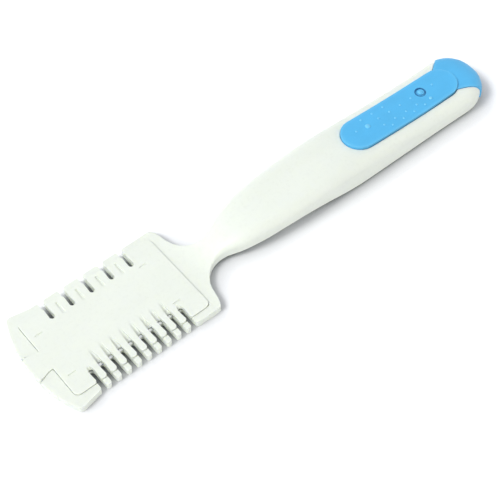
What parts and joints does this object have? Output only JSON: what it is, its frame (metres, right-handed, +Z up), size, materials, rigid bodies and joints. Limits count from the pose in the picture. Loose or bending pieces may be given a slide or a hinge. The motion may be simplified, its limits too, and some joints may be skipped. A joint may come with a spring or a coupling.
{
  "type": "razor comb",
  "caption": "Two-sided razor comb: flat toothed head with a double-edge blade under a lift-off toothed cover, on a thick arched handle with a soft grip insert.",
  "frame": {"origin": "middle of the whole comb's footprint, on the surface that it lies on", "axes": "+X along the comb from the head to the handle's end, +Y towards the wide teeth, +Z up out of the cover"},
  "size_m": [0.1844, 0.0394, 0.0129],
  "materials": {
    "body_plastic": "moulded white, soft sheen",
    "cover_plastic": "moulded white, soft sheen",
    "blade_steel": "thin polished strip with honed edges",
    "soft_grip": "sky blue, soft matt"
  },
  "bodies": {
    "base": {"comb_body": "body_plastic", "grip_insert": "soft_grip"},
    "cover": {"comb_cover": "cover_plastic"},
    "blade": {"razor_blade": "blade_steel"}
  },
  "joints": [
    {"name": "cover_lift", "type": "slide", "parent": "base", "child": "cover", "axis": [0, 0, 1], "range_m": [0, 0.04]},
    {"name": "blade_lift", "type": "slide", "parent": "base", "child": "blade", "axis": [0, 0, 1], "range_m": [0, 0.02]}
  ],
  "couplings": [
    {"joint": "blade_lift", "follows": "cover_lift", "ratio": 0.5}
  ]
}
